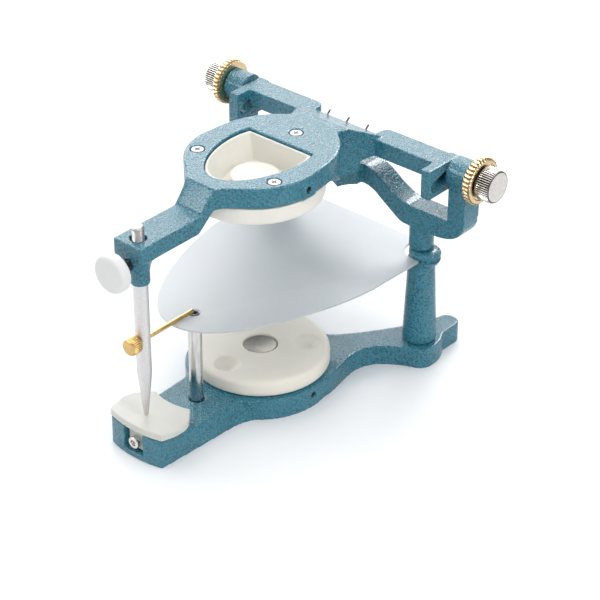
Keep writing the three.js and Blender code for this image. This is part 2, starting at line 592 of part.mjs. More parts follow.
function makeUpperFrame() {
  const side = polygon([
    [-40, UPPER.ringBottom],
    [14, UPPER.ringBottom],
    [19.4, 102.3],
    [30.2, 96.5],
    [36, 93.5],
    [38, UPPER.neckBottom],
    [44, UPPER.neckBottom + 0.8],
    [UPPER.neckRear, UPPER.neckBottom + 1.8],
    [UPPER.neckRear, UPPER.barBottom - 1.5],
    [UPPER.barFront, UPPER.barBottom],
    [70, UPPER.barBottom],
    [70, UPPER.barTop],
    [UPPER.notchY, UPPER.barTop],
    [UPPER.plateauRear, UPPER.ringTop],
    [-40, UPPER.ringTop],
  ]);
  const plateSpace = rod(UPPER_PLATE.radius + GAP, 80, UPPER.ringBottom, 60);
  const ring = upright(symmetric(ringOutline(), 12), 80, 120)
    .intersect(alongX(side, -40, 40))
    .subtract(plateSpace.translate([0, UPPER_PLATE.centre, 0]));
  const bar = alongX(
    rectangle(UPPER.barFront, UPPER.barBottom, UPPER.barRear, UPPER.barTop),
    -CHEEK.inner - 1,
    CHEEK.inner + 1,
  );
  const recess = new THREE.Shape();
  const roundCentre = UPPER.notchHalf + UPPER.notchRound;
  recess.moveTo(-roundCentre, UPPER.barRear + 5);
  recess.lineTo(-roundCentre, UPPER.barRear);
  recess.absarc(-roundCentre, UPPER.barRear - UPPER.notchRound, UPPER.notchRound, Math.PI / 2, 0, true);
  recess.lineTo(-UPPER.notchHalf, UPPER.notchY);
  recess.lineTo(UPPER.notchHalf, UPPER.notchY);
  recess.absarc(roundCentre, UPPER.barRear - UPPER.notchRound, UPPER.notchRound, Math.PI, Math.PI / 2, true);
  recess.lineTo(roundCentre, UPPER.barRear + 5);

  const armSide = polygon([
    [UPPER.armFront, UPPER.armBottom],
    [-44.5, UPPER.armBottom],
    [-35, UPPER.ringBottom],
    [-28.5, UPPER.ringBottom],
    [-28.5, UPPER.ringTop],
    [-34.7, UPPER.ringTop],
    [-42.7, UPPER.armTop],
    [UPPER.armFront, UPPER.armTop],
  ]);
  const arm = alongX(armSide, -UPPER.armHalf, UPPER.armHalf);
  const boss = turned(
    [
      [0, PIN_BOSS.bottom],
      [PIN_BOSS.radius - 0.5, PIN_BOSS.bottom],
      [PIN_BOSS.radius, PIN_BOSS.bottom + 0.5],
      [PIN_BOSS.radius, PIN_BOSS.straight],
      [PIN_BOSS.radius + 0.5, 92.4],
      [5.7, 94.8],
      [PIN_BOSS.flare, UPPER.armBottom],
      [0, UPPER.armBottom + 1],
    ],
    32,
  )
    .translate([0, PIN.y, 0])
    .intersect(upright(rectangle(-20, UPPER.armFront, 20, 0), 0, 120));
  const clampBoss = rodOnFront(4.6, -PIN.y, -UPPER.armFront, 28).translate([0, 0, CLAMP.z]);

  let frame = ring.add(bar).subtract(upright(recess, 90, 120, 8)).add(arm).add(makeArmWebs(armSide));
  frame = frame.add(boss).add(clampBoss).add(makeGrubPad()).add(bothSides(makeSlottedCheek()));
  frame = frame
    .subtract(bothSides(makeCondyleSlot()))
    .subtract(upright(windowOutline(), 90, 120))
    .subtract(rod(PIN.bore, 70, 120).translate([0, PIN.y, 0]))
    .subtract(rodOnFront(CLAMP.stud + GAP, -PIN.y, 90, 20).translate([0, 0, CLAMP.z]))
    .subtract(rodOnX(GRUB.bore, 16, 40, 16).translate([0, UPPER_GRUB.y, UPPER_GRUB.z]));
  for (const [x, y] of screwSpots) {
    const seat = UPPER.ringTop - PLATE_SCREW.sunk - PLATE_SCREW.headHeight - GAP;
    const head = rod(PLATE_SCREW.head + GAP, seat, 120, 28);
    const shank = rod(PLATE_SCREW.shank + GAP, 90, 120, 16);
    frame = frame.subtract(head.add(shank).translate([x, y, 0]));
  }
  for (const step of [-1, 0, 1]) {
    frame = frame.subtract(hookRod(HOOK.radius + GAP, 0.3).translate([step * HOOK.spacing, 0, 0]));
  }
  return frame;
}

// A short wire hook end that leans back and up out of the recess in the crossbar.
function hookRod(radius, extra = 0) {
  const wall = [[radius, -extra], [radius, HOOK.length - 0.3], [radius * 0.5, HOOK.length]];
  return turned([[0, -extra], ...wall, [0, HOOK.length]], 12)
    .rotate([HOOK.leanDegrees - 90, 0, 0])
    .translate([0, HOOK.y, HOOK.z]);
}

function makePin() {
  const pin = turned([
    [0, PIN.tip],
    [PIN.tipRadius, PIN.tip],
    [PIN.radius, PIN.coneTop],
    [PIN.radius, PIN_TOP.shoulder],
    [PIN_TOP.radius, PIN_TOP.shoulder],
    [PIN_TOP.radius, PIN_TOP.end - 0.5],
    [PIN_TOP.radius - 0.5, PIN_TOP.end],
    [0, PIN_TOP.end],
  ], 32).translate([0, PIN.y, 0]);
  return pin.subtract(rodOnFront(POINTER.bore, 60, 80, 20).translate([0, 0, POINTER.z]));
}

function makeClampKnob() {
  const rear = -CLAMP.knobRear;
  const front = -CLAMP.knobFront;
  const profile = [[0, rear]];
  profile.push(...quarterRound(CLAMP.knobRadius - 1, rear + 1, 1, -90, 0, 2));
  profile.push(...quarterRound(CLAMP.knobRadius - CLAMP.round, front - CLAMP.round, CLAMP.round, 0, 90, 3));
  profile.push([0, front]);
  const hub = rodOnFront(4, rear - 2.4, rear + 1, 28);
  const blindHole = rodOnFront(CLAMP.stud + GAP, rear - 5, front - 2, 20);
  return turnedOnFront(profile, 44).add(hub).subtract(blindHole).translate([0, 0, CLAMP.z]);
}

function makeClampStud() {
  const low = -PIN.y + PIN.radius + GAP;
  return rodOnFront(CLAMP.stud, low, -CLAMP.knobFront - 2 - GAP, 20).translate([0, 0, CLAMP.z]);
}

function makePointerRod() {
  return rodOnFront(POINTER.rod, -POINTER.tip, -POINTER.headFront - 1.5, 16).translate([0, 0, POINTER.z]);
}

function makePointerHead() {
  const rear = -POINTER.headRear;
  const front = -POINTER.headFront;
  const bore = rod(POINTER.bore, rear - 1, front - 1, 16);
  const head = knurledHead(POINTER.head, 20, 0.3, rear, front, 0.5).subtract(bore);
  return head.rotate([90, 0, 0]).translate([0, 0, POINTER.z]);
}

function makeLockNut(side) {
  const { radius, teeth, tooth, inner, outer } = LOCK_NUT;
  const disc = knurledHead(radius, teeth, tooth, inner, outer, 0.6);
  const bore = rod(CONDYLE.screw + GAP, 60, 80, 28);
  const floor = outer - 0.6;
  const dish = turned([[0, floor], [radius - 2.7, floor], [radius - 2.1, outer + 0.1], [0, 80]], 32);
  return disc.subtract(bore).subtract(dish).rotate([0, 90 * side, 0]).translate([0, CONDYLE.y, CONDYLE.z]);
}

function makeCondyleScrew(side) {
  const { radius, teeth, tooth, inner, outer } = THUMB;
  const head = knurledHead(radius, teeth, tooth, inner, outer, 0.5);
  const shaft = rod(CONDYLE.screw, CHEEK.outer + 0.7, inner + 1, 28);
  const nose = rod(CONDYLE.nose, CHEEK.inner + GAP, CHEEK.outer + 1, 20);
  return head.add(shaft).add(nose).rotate([0, 90 * side, 0]).translate([0, CONDYLE.y, CONDYLE.z]);
}

// A ball with a straight bore, whose wall runs between the two ends of the ball's arc.
function makeCondyleBall(side) {
  const middle = (CHEEK.inner + CHEEK.outer) / 2;
  const arc = quarterRound(0, middle, CONDYLE.ball, -BALL_ARC, BALL_ARC, 6);
  return turned([...arc, arc[0]], 24).rotate([0, 90 * side, 0]).translate([0, CONDYLE.y, CONDYLE.z]);
}

// ---------------------------------------------------------------- materials
const finish = (color, roughness, metalness) =>
  new THREE.MeshStandardMaterial({ color, roughness, metalness });
const paint = finish(0x5c97ad, 0.4, 0.1);
const whitePlastic = finish(0xe9e6dd, 0.35, 0);
const knobPlastic = finish(0xf4f4f2, 0.4, 0);
const sheetPlastic = finish(0xe3e5ee, 0.3, 0);
const brass = finish(0xd9b06a, 0.3, 1);
const nickel = finish(0xc9c6c0, 0.25, 1);
const stainless = finish(0xb9b7b3, 0.2, 1);
const satinSteel = finish(0xcfccd0, 0.45, 0.7);
const magnetSteel = finish(0x7a786f, 0.4, 0.9);
const darkSteel = finish(0x35363a, 0.45, 0.9);

// ---------------------------------------------------------------- assembly
const articulator = new THREE.Group();
const lowerFrame = new THREE.Group();
const upperFrame = new THREE.Group();
articulator.add(lowerFrame, upperFrame);

function place(group, name, solid, material) {
  const mesh = new THREE.Mesh(toGeometry(solid), material.clone());
  mesh.name = name;
  group.add(mesh);
  return mesh;
}

place(lowerFrame, "base_frame", makeBase(), paint);
place(lowerFrame, "rear_yoke", makeYoke(), paint);
place(lowerFrame, "front_post", makeFrontPost(), stainless);
place(lowerFrame, "incisal_guide_table", makeGuideTable(), whitePlastic);
place(lowerFrame, "guide_table_screw", makeTableScrew(), nickel);
place(lowerFrame, "occlusal_plane_sheet", makeSheet(), sheetPlastic);
place(lowerFrame, "lower_grub_screw", makeGrubScrew(LOWER_GRUB), darkSteel);
place(upperFrame, "upper_frame", makeUpperFrame(), paint);
place(upperFrame, "upper_grub_screw", makeGrubScrew(UPPER_GRUB), darkSteel);

const plateSets = [
  ["lower", lowerFrame, LOWER_PLATE, BASE.thickness + GAP, 0, BASE.thickness],
  ["upper", upperFrame, UPPER_PLATE, UPPER.ringBottom - GAP, Math.PI, UPPER.ringTop - UPPER.ringBottom],
];
for (const [level, group, plate, height, turn, ringThickness] of plateSets) {
  const set = new THREE.Group();
  set.position.z = height;
  set.rotation.y = turn;
  group.add(set);
  place(set, level + "_mounting_plate", makeMountingPlate(plate), whitePlastic);
  place(set, level + "_magnet", makeMagnet(plate), magnetSteel);
  screwSpots.forEach((spot, i) => {
    place(set, level + "_plate_screw_" + (i + 1), makePlateScrew(spot, ringThickness), nickel);
  });
}

for (const [word, side] of [["left", -1], ["right", 1]]) {
  place(lowerFrame, "rear_post_" + word, makeRearPost(side), paint);
  place(lowerFrame, "post_screw_" + word, makePostScrew(side), darkSteel);
  place(lowerFrame, "condyle_ball_" + word, makeCondyleBall(side), stainless);
  place(lowerFrame, "condyle_screw_" + word, makeCondyleScrew(side), nickel);
  place(lowerFrame, "lock_nut_" + word, makeLockNut(side), brass);
}

[-1, 0, 1].forEach((step, i) => {
  const hook = place(upperFrame, "elastic_hook_" + (i + 1), hookRod(HOOK.radius), darkSteel);
  hook.position.x = step * HOOK.spacing;
});
place(upperFrame, "incisal_pin", makePin(), satinSteel);
place(upperFrame, "clamp_knob", makeClampKnob(), knobPlastic);
place(upperFrame, "clamp_stud", makeClampStud(), nickel);
place(upperFrame, "pointer_rod", makePointerRod(), brass);
place(upperFrame, "pointer_head", makePointerHead(), brass);

// The origin goes under the middle of the object's box, on the surface that it stands on.
const box = new THREE.Box3().setFromObject(articulator);
articulator.position.y = -(box.min.y + box.max.y) / 2;

export default articulator;
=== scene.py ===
"""Dental articulator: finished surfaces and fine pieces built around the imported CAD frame."""

import json
import math

import bmesh
import bpy
from mathutils import Matrix, Vector


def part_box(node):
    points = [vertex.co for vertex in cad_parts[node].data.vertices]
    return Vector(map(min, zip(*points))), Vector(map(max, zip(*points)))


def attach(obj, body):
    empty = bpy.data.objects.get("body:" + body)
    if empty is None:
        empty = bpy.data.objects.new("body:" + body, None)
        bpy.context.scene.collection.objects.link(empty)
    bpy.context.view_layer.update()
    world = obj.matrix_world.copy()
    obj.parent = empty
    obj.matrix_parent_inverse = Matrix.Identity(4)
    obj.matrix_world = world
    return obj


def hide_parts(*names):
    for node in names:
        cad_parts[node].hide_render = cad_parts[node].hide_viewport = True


MM = 0.001

# Camera
AZIMUTH = math.radians(41.09)
ELEVATION = math.radians(32.26)
DISTANCE = 919.5 * MM
TARGET = Vector((23.8, 2.3, 50.8)) * MM
LENS = 128.06

# Casting and moulding skins
CAST_VOXEL = 0.45 * MM
MOULDED_VOXEL = 0.4 * MM
FINE_VOXEL = 0.3 * MM
SMOOTHING_ROUNDS = 5
KNOB_SMOOTHING_ROUNDS = 4

# Axes
X, Y, Z = 0, 1, 2
UP = (0, 0, 1)
TO_FRONT = (0, -1, 0)

# Turned pieces
LOCK_NUT_FLUTES = 34
THUMB_KNURLS = 46
POINTER_KNURLS = 26
FLUTE_SHARPNESS = 1.5  # above 1 the grooves are narrower than the ridges between them
RIM_STEPS = 4
SHARP_ANGLE = math.radians(38)
STUD_PITCH = 0.7 * MM
HEAD_RIM = 0.35 * MM  # rounding of the screw heads and the magnets
TOUCHING = 0.001 * MM  # points closer than this are one

# Where the side bores open, along X
BORE_MOUTH = {"lower": 32.4 * MM, "upper": 30.6 * MM}

# Metal colours
BRASS_COLOUR = (0.84, 0.66, 0.42)
# The dark tones give random tarnish marks and also the painted shade at the bottom of the knurl grooves
BRASS_TARNISH_AND_GROOVE_SHADE = (0.22, 0.15, 0.06)
NICKEL_COLOUR = (0.82, 0.78, 0.74)
NICKEL_TARNISH_AND_GROOVE_SHADE = (0.03, 0.028, 0.028)
MAGNET_COLOUR = (0.26, 0.25, 0.22)
MAGNET_SHADE = (0.15, 0.145, 0.13)

# Studio: the room is dim at eye level and grows brighter up to a given rise of the line of sight
FLOOR_HALF = 1.3
EYE_LEVEL_GLOW = 0.12
OVERHEAD_GLOW = 0.5
OVERHEAD_RISE = 0.8
LIGHT_AIM = Vector((0, 0, 0.05))

# Materials: metres to millimetres, and the sockets of a Mix node in colour mode
IN_MM = (1000, 1000, 1000)
FIRST_COLOUR = 6
SECOND_COLOUR = 7
MIXED_COLOUR = 2

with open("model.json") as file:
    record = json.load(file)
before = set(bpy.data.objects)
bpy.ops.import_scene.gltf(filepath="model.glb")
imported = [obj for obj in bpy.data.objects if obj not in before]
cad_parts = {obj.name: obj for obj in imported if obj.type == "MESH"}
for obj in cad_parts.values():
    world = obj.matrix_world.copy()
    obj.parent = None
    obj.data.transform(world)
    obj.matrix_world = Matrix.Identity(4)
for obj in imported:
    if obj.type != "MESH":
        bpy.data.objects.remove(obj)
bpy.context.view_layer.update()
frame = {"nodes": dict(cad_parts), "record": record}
scene = bpy.context.scene


# ---------------------------------------------------------------- placing pieces
def body_of_node(node):
    for body, members in frame["record"]["behaviour"]["bodies"].items():
        if node in members:
            return body
    raise KeyError(node)


def middle(node):
    low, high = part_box(node)
    return (low + high) / 2


def axis_place(node, axis):
    """Where the line through a node's middle, along an axis, crosses the plane through the origin."""
    place = middle(node)
    place[axis] = 0
    return place


def ends(node, axis, direction):
    """Near and far end of a node along an axis, measured in the given direction."""
    low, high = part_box(node)
    if direction > 0:
        return low[axis], high[axis]
    return -high[axis], -low[axis]


def dress(piece, material):
    piece.data.materials.clear()
    piece.data.materials.append(material)


def stand_for(piece, node, material):
    """The piece takes the CAD node's place, body, material slot and look."""
    dress(piece, material)
    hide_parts(node)
    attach(piece, body_of_node(node))


def object_from(name, mesh):
    piece = bpy.data.objects.new(name, mesh)
    scene.collection.objects.link(piece)
    return piece


def bake_modifiers(piece):
    evaluated = piece.evaluated_get(bpy.context.evaluated_depsgraph_get())
    made = bpy.data.meshes.new_from_object(evaluated)
    piece.modifiers.clear()
    piece.data = made
    return made


def softened(node, voxel, rounds):
    """A fine copy of a CAD node with its edges worn round, as a casting or a moulding has them."""
    piece = object_from(node + "_skin", frame["nodes"][node].data.copy())
    remesh = piece.modifiers.new("remesh", "REMESH")
    remesh.mode = "VOXEL"
    remesh.voxel_size = voxel
    smooth = piece.modifiers.new("smooth", "SMOOTH")
    smooth.factor = 0.5
    smooth.iterations = rounds
    bake_modifiers(piece).shade_smooth()
    return piece


# ---------------------------------------------------------------- turned pieces
def along(axis):
    """Rotation that turns local +Z to the given direction."""
    return Vector(axis).to_track_quat("Z", "Y").to_matrix().to_4x4()


def turned(name, profile, axis, origin, segments=96, flutes=0, depth=0.0, hollow=False):
    """A closed turned piece: profile rows are (radius, height) or (radius, height, flute share).

    A row with a flute share takes that share of the flutes' depth. A hollow profile closes on itself.
    """
    made = bmesh.new()
    rings = []
    for row in profile:
        radius, height = row[0], row[1]
        share = row[2] if len(row) > 2 else 0.0
        ring = []
        for i in range(segments):
            angle = 2 * math.pi * i / segments
            wave = 0.5 - 0.5 * math.cos(angle * flutes)
            r = radius - depth * share * wave**FLUTE_SHARPNESS
            ring.append(made.verts.new((r * math.cos(angle), r * math.sin(angle), height)))
        rings.append(ring)
    pairs = list(zip(rings, rings[1:]))
    if hollow:
        pairs.append((rings[-1], rings[0]))
    for low, high in pairs:
        for i in range(segments):
            j = (i + 1) % segments
            made.faces.new((low[i], low[j], high[j], high[i]))
    if not hollow:
        made.faces.new(list(reversed(rings[0])))
        made.faces.new(rings[-1])
    made.transform(Matrix.Translation(origin) @ along(axis))
    mesh = bpy.data.meshes.new(name)
    made.to_mesh(mesh)
    made.free()
    mesh.shade_smooth()
    mesh.set_sharp_from_angle(angle=SHARP_ANGLE)
    return object_from(name, mesh)


def lower_rim(radius, low, edge):
    """Rows of a rounded lower rim."""
    rows = []
    for i in range(RIM_STEPS + 1):
        angle = math.pi / 2 * i / RIM_STEPS
        rows.append((radius - edge + edge * math.sin(angle), low + edge - edge * math.cos(angle)))
    return rows


def upper_rim(radius, high, edge):
    """Rows of a rounded upper rim."""
    rows = []
    for i in range(RIM_STEPS + 1):
        angle = math.pi / 2 * i / RIM_STEPS
        rows.append((radius - edge + edge * math.cos(angle), high - edge + edge * math.sin(angle)))
    return rows


def rounded(radius, low, high, edge):
    """Profile of a plain cylinder whose two rims are rounded."""
    return lower_rim(radius, low, edge) + upper_rim(radius, high, edge)


def ringed_face(radius, height, rings):
    """Rows that fill the last face of a profile with rings, so that a relief can press into it."""
    core = radius * 0.01
    return [(radius * (1 - i / rings), height) for i in range(1, rings)] + [(core, height)]


def cross_relief(half_length, half_width, depth):
    """Makes a function that gives the depth of a cross-shaped recess at a place on a face."""

    def press(x, y):
        inside = max(abs(x), abs(y)) < half_length and min(abs(x), abs(y)) < half_width
        return depth if inside else 0.0

    return press


# ---------------------------------------------------------------- materials
class Surface:
    """A procedural material. Its texture coordinates stay with the piece and are in millimetres."""

    def __init__(self, name, colour, **settings):
        self.material = bpy.data.materials.new(name)
        self.material.use_nodes = True
        self.tree = self.material.node_tree
        self.shader = self.tree.nodes["Principled BSDF"]
        self.shader.inputs["Base Color"].default_value = (*colour, 1)
        for socket, value in settings.items():
            self.shader.inputs[socket.replace("_", " ")].default_value = value
        coordinates = self.tree.nodes.new("ShaderNodeTexCoord")
        self.place = self.stretched(coordinates.outputs["Object"], IN_MM)

    def add(self, kind, inputs, **properties):
        made = self.tree.nodes.new(kind)
        for name, value in properties.items():
            setattr(made, name, value)
        for socket, value in inputs.items():
            if isinstance(value, bpy.types.NodeSocket):
                self.tree.links.new(value, made.inputs[socket])
            else:
                made.inputs[socket].default_value = value
        return made

    def stretched(self, vector, scale, offset=(0, 0, 0)):
        inputs = {"Vector": vector, "Scale": scale, "Location": offset}
        return self.add("ShaderNodeMapping", inputs).outputs["Vector"]

    def noise(self, scale, detail=3.0, roughness=0.55, vector=None, output="Fac"):
        inputs = {
            "Vector": vector or self.place,
            "Scale": scale,
            "Detail": detail,
            "Roughness": roughness,
        }
        return self.add("ShaderNodeTexNoise", inputs).outputs[output]

    def math(self, operation, first, second):
        return self.add("ShaderNodeMath", {0: first, 1: second}, operation=operation).outputs[0]

    def spread(self, value, low, high, to_low=0.0, to_high=1.0):
        inputs = {
            "Value": value,
            "From Min": low,
            "From Max": high,
            "To Min": to_low,
            "To Max": to_high,
        }
        return self.add("ShaderNodeMapRange", inputs).outputs["Result"]

    def mixed(self, factor, first, second):
        """Blend of two colours, each a tuple or the socket of another node."""
        inputs = {
            "Factor": factor,
            FIRST_COLOUR: (*first, 1) if isinstance(first, tuple) else first,
            SECOND_COLOUR: (*second, 1) if isinstance(second, tuple) else second,
        }
        return self.add("ShaderNodeMix", inputs, data_type="RGBA").outputs[MIXED_COLOUR]

    def colour(self, socket):
        self.tree.links.new(socket, self.shader.inputs["Base Color"])

    def rough(self, socket):
        self.tree.links.new(socket, self.shader.inputs["Roughness"])

    def bump(self, height, distance, strength=1.0):
        inputs = {"Height": height, "Distance": distance * MM, "Strength": strength}
        normal = self.add("ShaderNodeBump", inputs).outputs["Normal"]
        self.tree.links.new(normal, self.shader.inputs["Normal"])


def hammered_paint():
    """Glossy enamel that dried in small shrunken pools, with painted shade darkening the thin cracks
    between them.
    """
    pool_colour = (0.034, 0.265, 0.365)
    painted_crack_shade = (0.004, 0.112, 0.168)
    even_colour = (0.032, 0.258, 0.361)
    s = Surface("hammered_paint", even_colour, Roughness=0.26, Coat_Weight=0.3, Coat_Roughness=0.06)
    swirl = s.noise(0.7, 2.0, output="Color")
    reach = (0.8, 0.8, 0.8)
    swirl = s.add("ShaderNodeVectorMath", {0: swirl, 1: reach}, operation="MULTIPLY").outputs[0]
    warped = s.add("ShaderNodeVectorMath", {0: s.place, 1: swirl}, operation="ADD").outputs[0]
    pools = s.add(
        "ShaderNodeTexVoronoi",
        {"Vector": warped, "Scale": 1.1, "Smoothness": 0.15, "Randomness": 1.0},
        feature="SMOOTH_F1",
    ).outputs["Distance"]
    grain = s.noise(2.2, 4.0, 0.6)
    broad = s.noise(0.05, 3.0)
    height = s.math("SUBTRACT", s.math("MULTIPLY", grain, 0.45), pools)
    # Painted shade: the low cracks between the pools are coloured darker
    pooled = s.mixed(s.spread(pools, 0.25, 0.8), pool_colour, painted_crack_shade)
    s.colour(s.mixed(s.spread(broad, 0.35, 0.7, 0.0, 0.3), pooled, even_colour))
    s.rough(s.spread(grain, 0.3, 0.7, 0.14, 0.28))
    s.bump(height, 0.75)
    return s.material


def moulded_plastic(name, colour, shade, roughness):
    """Smooth plastic with faint clouds of a second shade and a fine grain."""
    s = Surface(name, colour, Roughness=roughness, Specular_IOR_Level=0.25)
    s.shader.inputs["Subsurface Weight"].default_value = 0.06
    s.shader.inputs["Subsurface Scale"].default_value = 1.5 * MM
    s.colour(s.mixed(s.spread(s.noise(0.07, 3.0), 0.35, 0.65), colour, shade))
    s.rough(s.spread(s.noise(0.6, 4.0), 0.3, 0.7, roughness - 0.06, roughness + 0.08))
    s.bump(s.noise(2.2, 4.0), 0.02, 0.6)
    return s.material


def clear_sheet():
    """Thin translucent sheet, faintly clouded and smeared."""
    clear = (0.67, 0.705, 0.725)
    cloudy = (0.71, 0.73, 0.76)
    s = Surface("clear_sheet", clear, Roughness=0.42, Transmission_Weight=0.5)
    s.shader.inputs["Specular IOR Level"].default_value = 0.25
    s.colour(s.mixed(s.spread(s.noise(0.03, 2.0), 0.3, 0.7), clear, cloudy))
    s.bump(s.noise(0.05, 2.0), 0.05, 0.5)
    return s.material


def turned_metal(name, colour, shade, roughness, grain, stretch=(1.0, 1.0, 1.0)):
    """Metal with fine tool marks: the marks are drawn out along the directions with a small stretch."""
    s = Surface(name, colour, Metallic=1.0)
    marks = s.noise(grain, 5.0, 0.65, s.stretched(s.place, stretch))
    smears = s.noise(0.25, 3.0)
    s.colour(s.mixed(s.spread(marks, 0.3, 0.7), shade, colour))
    s.rough(s.spread(s.math("ADD", marks, smears), 0.7, 1.3, roughness - 0.07, roughness + 0.09))
    s.bump(marks, 0.01, 0.7)
    return s.material


def grooved_metal(name, node, axis, depth, colour, dark, roughness):
    """Bright knurled metal with random darker tarnish marks, and painted shade at the bottom of its
    grooves.
    """
    s = Surface(name, colour, Metallic=1.0)
    keep = [0.0 if i == axis else 1.0 for i in range(3)]
    offset = [0.0 if i == axis else -value / MM for i, value in enumerate(middle(node))]
    local = s.stretched(s.place, keep, offset)
    radius = s.add("ShaderNodeVectorMath", {0: local}, operation="LENGTH").outputs["Value"]
    rim = radius_of(node, axis) / MM
    groove = depth / MM
    # Painted shade: the colour turns to the dark tone towards the bottom of the grooves
    clear_of_groove_shade = s.spread(radius, rim - groove * 0.75, rim - groove * 0.15)
    plain = s.math("LESS_THAN", radius, rim - groove * 1.15)
    marks = s.noise(2.5, 3.0)
    bright = s.mixed(s.spread(marks, 0.3, 0.7, 0.0, 0.35), colour, dark)
    s.colour(s.mixed(s.math("MAXIMUM", clear_of_groove_shade, plain), dark, bright))
    s.rough(s.spread(marks, 0.3, 0.7, roughness - 0.05, roughness + 0.08))
    s.bump(marks, 0.012, 0.5)
    return s.material


def faced_metal(name, centre, colour, shade, roughness):
    """A dull machined face with concentric tool marks about a centre."""
    s = Surface(name, colour, Metallic=1.0)
    local = s.stretched(s.place, (1, 1, 0), (-centre.x / MM, -centre.y / MM, 0))
    radius = s.add("ShaderNodeVectorMath", {0: local}, operation="LENGTH").outputs["Value"]
    inputs = {"W": radius, "Scale": 5.0, "Detail": 3.0}
    rings = s.add("ShaderNodeTexNoise", inputs, noise_dimensions="1D").outputs["Fac"]
    blotches = s.noise(0.5, 4.0)
    mark = s.math("ADD", s.math("MULTIPLY", rings, 0.6), s.math("MULTIPLY", blotches, 0.4))
    s.colour(s.mixed(s.spread(mark, 0.35, 0.65), shade, colour))
    s.rough(s.spread(mark, 0.3, 0.7, roughness - 0.08, roughness + 0.1))
    s.bump(mark, 0.03, 0.6)
    return s.material


def floor_surface():
    """Plain pale floor with hardly visible changes of tone."""
    pale = (0.955, 0.96, 0.97)
    paler = (0.965, 0.97, 0.975)
    s = Surface("floor", pale, Roughness=0.6)
    s.colour(s.mixed(s.spread(s.noise(0.004, 2.0), 0.3, 0.7), pale, paler))
    return s.material


# ---------------------------------------------------------------- castings and mouldings
def make_castings(paint):
    """The painted frames and posts, with their edges worn round."""
    for node in ("base_frame", "rear_yoke", "rear_post_left", "rear_post_right", "upper_frame"):
        stand_for(softened(node, CAST_VOXEL, SMOOTHING_ROUNDS), node, paint)


def press_valley(table, top, line):
    """A shallow valley across the guide table, under the tip of the pin."""
    width = 1.6 * MM
    depth = 0.45 * MM
    upper_skin = top - 1.6 * MM
    for vertex in table.data.vertices:
        if vertex.co.z > upper_skin:
            vertex.co.z -= depth * math.exp(-(((vertex.co.y - line) / width) ** 2))


def make_mouldings(white, ivory, shaded_table_white, knob):
    """The two mounting plates, the guide table and the clamp knob."""
    for node, material in (("lower_mounting_plate", ivory), ("upper_mounting_plate", white)):
        stand_for(softened(node, MOULDED_VOXEL, SMOOTHING_ROUNDS), node, material)
    table = softened("incisal_guide_table", FINE_VOXEL, SMOOTHING_ROUNDS)
    press_valley(table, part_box("incisal_guide_table")[1].z, middle("incisal_pin").y)
    stand_for(table, "incisal_guide_table", shaded_table_white)
    stand_for(softened("clamp_knob", FINE_VOXEL, KNOB_SMOOTHING_ROUNDS), "clamp_knob", knob)


def make_sheet(material):
    """The thin sheet keeps its CAD outline, with its sharp edges broken."""
    node = "occlusal_plane_sheet"
    flat = math.radians(1)
    sharp = math.radians(40)
    edge_width = 0.18 * MM
    mesh = frame["nodes"][node].data.copy()
    made = bmesh.new()
    made.from_mesh(mesh)
    bmesh.ops.remove_doubles(made, verts=made.verts, dist=TOUCHING)
    bmesh.ops.dissolve_limit(made, angle_limit=flat, verts=made.verts, edges=made.edges)
    rims = [edge for edge in made.edges if edge.calc_face_angle(0) > sharp]
    bmesh.ops.bevel(made, geom=rims, offset=edge_width, segments=3, profile=0.6, affect="EDGES")
    made.to_mesh(mesh)
    made.free()
    mesh.shade_smooth()
    mesh.set_sharp_from_angle(angle=math.radians(35))
    stand_for(object_from("sheet_skin", mesh), node, material)


# ---------------------------------------------------------------- turned metal
def radius_of(node, axis):
    """Largest radius of a turned node, from its box across the axis."""
    low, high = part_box(node)
    spans = [high[i] - low[i] for i in range(3) if i != axis]
    return max(spans) / 2


def make_lock_nut(side, word):
    """Brass ring with rounded flutes and a sunk outer face."""
    node = "lock_nut_" + word
    depth = 0.75 * MM
    material = grooved_metal(node + "_brass", node, X, depth, BRASS_COLOUR, BRASS_TARNISH_AND_GROOVE_SHADE, 0.26)
    inner, outer = ends(node, X, side)
    radius = radius_of(node, X)
    bore = 3.0 * MM
    edge = 0.9 * MM
    step = outer - 0.55 * MM
    profile = [
        (bore, inner),
        (radius - edge, inner),
        (radius, inner + edge, 1.0),
        (radius, outer - edge, 1.0),
        (radius - edge * 1.2, outer - 0.1 * MM, 0.25),
        (radius - edge * 1.6, outer),
        (radius - 2.3 * MM, outer),
        (radius - 2.7 * MM, step),
        (bore + 0.3 * MM, step),
    ]
    place = axis_place(node, X)
    segments = LOCK_NUT_FLUTES * 10
    nut = turned(node + "_fine", profile, (side, 0, 0), place, segments, LOCK_NUT_FLUTES, depth)
    stand_for(nut, node, material)


def make_condyle_screw(side, word):
    """Screw with a plain nose that carries the condyle ball, and a knurled head."""
    node = "condyle_screw_" + word
    depth = 0.8 * MM
    material = grooved_metal(node + "_nickel", node, X, depth, NICKEL_COLOUR, NICKEL_TARNISH_AND_GROOVE_SHADE, 0.22)
    inner, outer = ends(node, X, side)
    radius = radius_of(node, X)
    head = outer - 7.1 * MM
    shaft = 2.6 * MM
    nose = 1.3 * MM
    nose_end = inner + 5.4 * MM
    edge = 0.5 * MM
    profile = [
        (nose * 0.7, inner),
        (nose, inner + 0.3 * MM),
        (nose, nose_end),
        (shaft, nose_end),
        (shaft, head),
        (radius - edge, head),
        (radius, head + edge, 1.0),
        (radius, outer - edge * 1.6, 1.0),
        (radius - edge * 0.6, outer - edge * 0.7, 0.1),
        (radius - edge, outer - edge * 0.2),
        (radius - edge * 2, outer),
    ]
    place = axis_place(node, X)
    segments = THUMB_KNURLS * 8
    screw = turned(node + "_fine", profile, (side, 0, 0), place, segments, THUMB_KNURLS, depth)
    stand_for(screw, node, material)


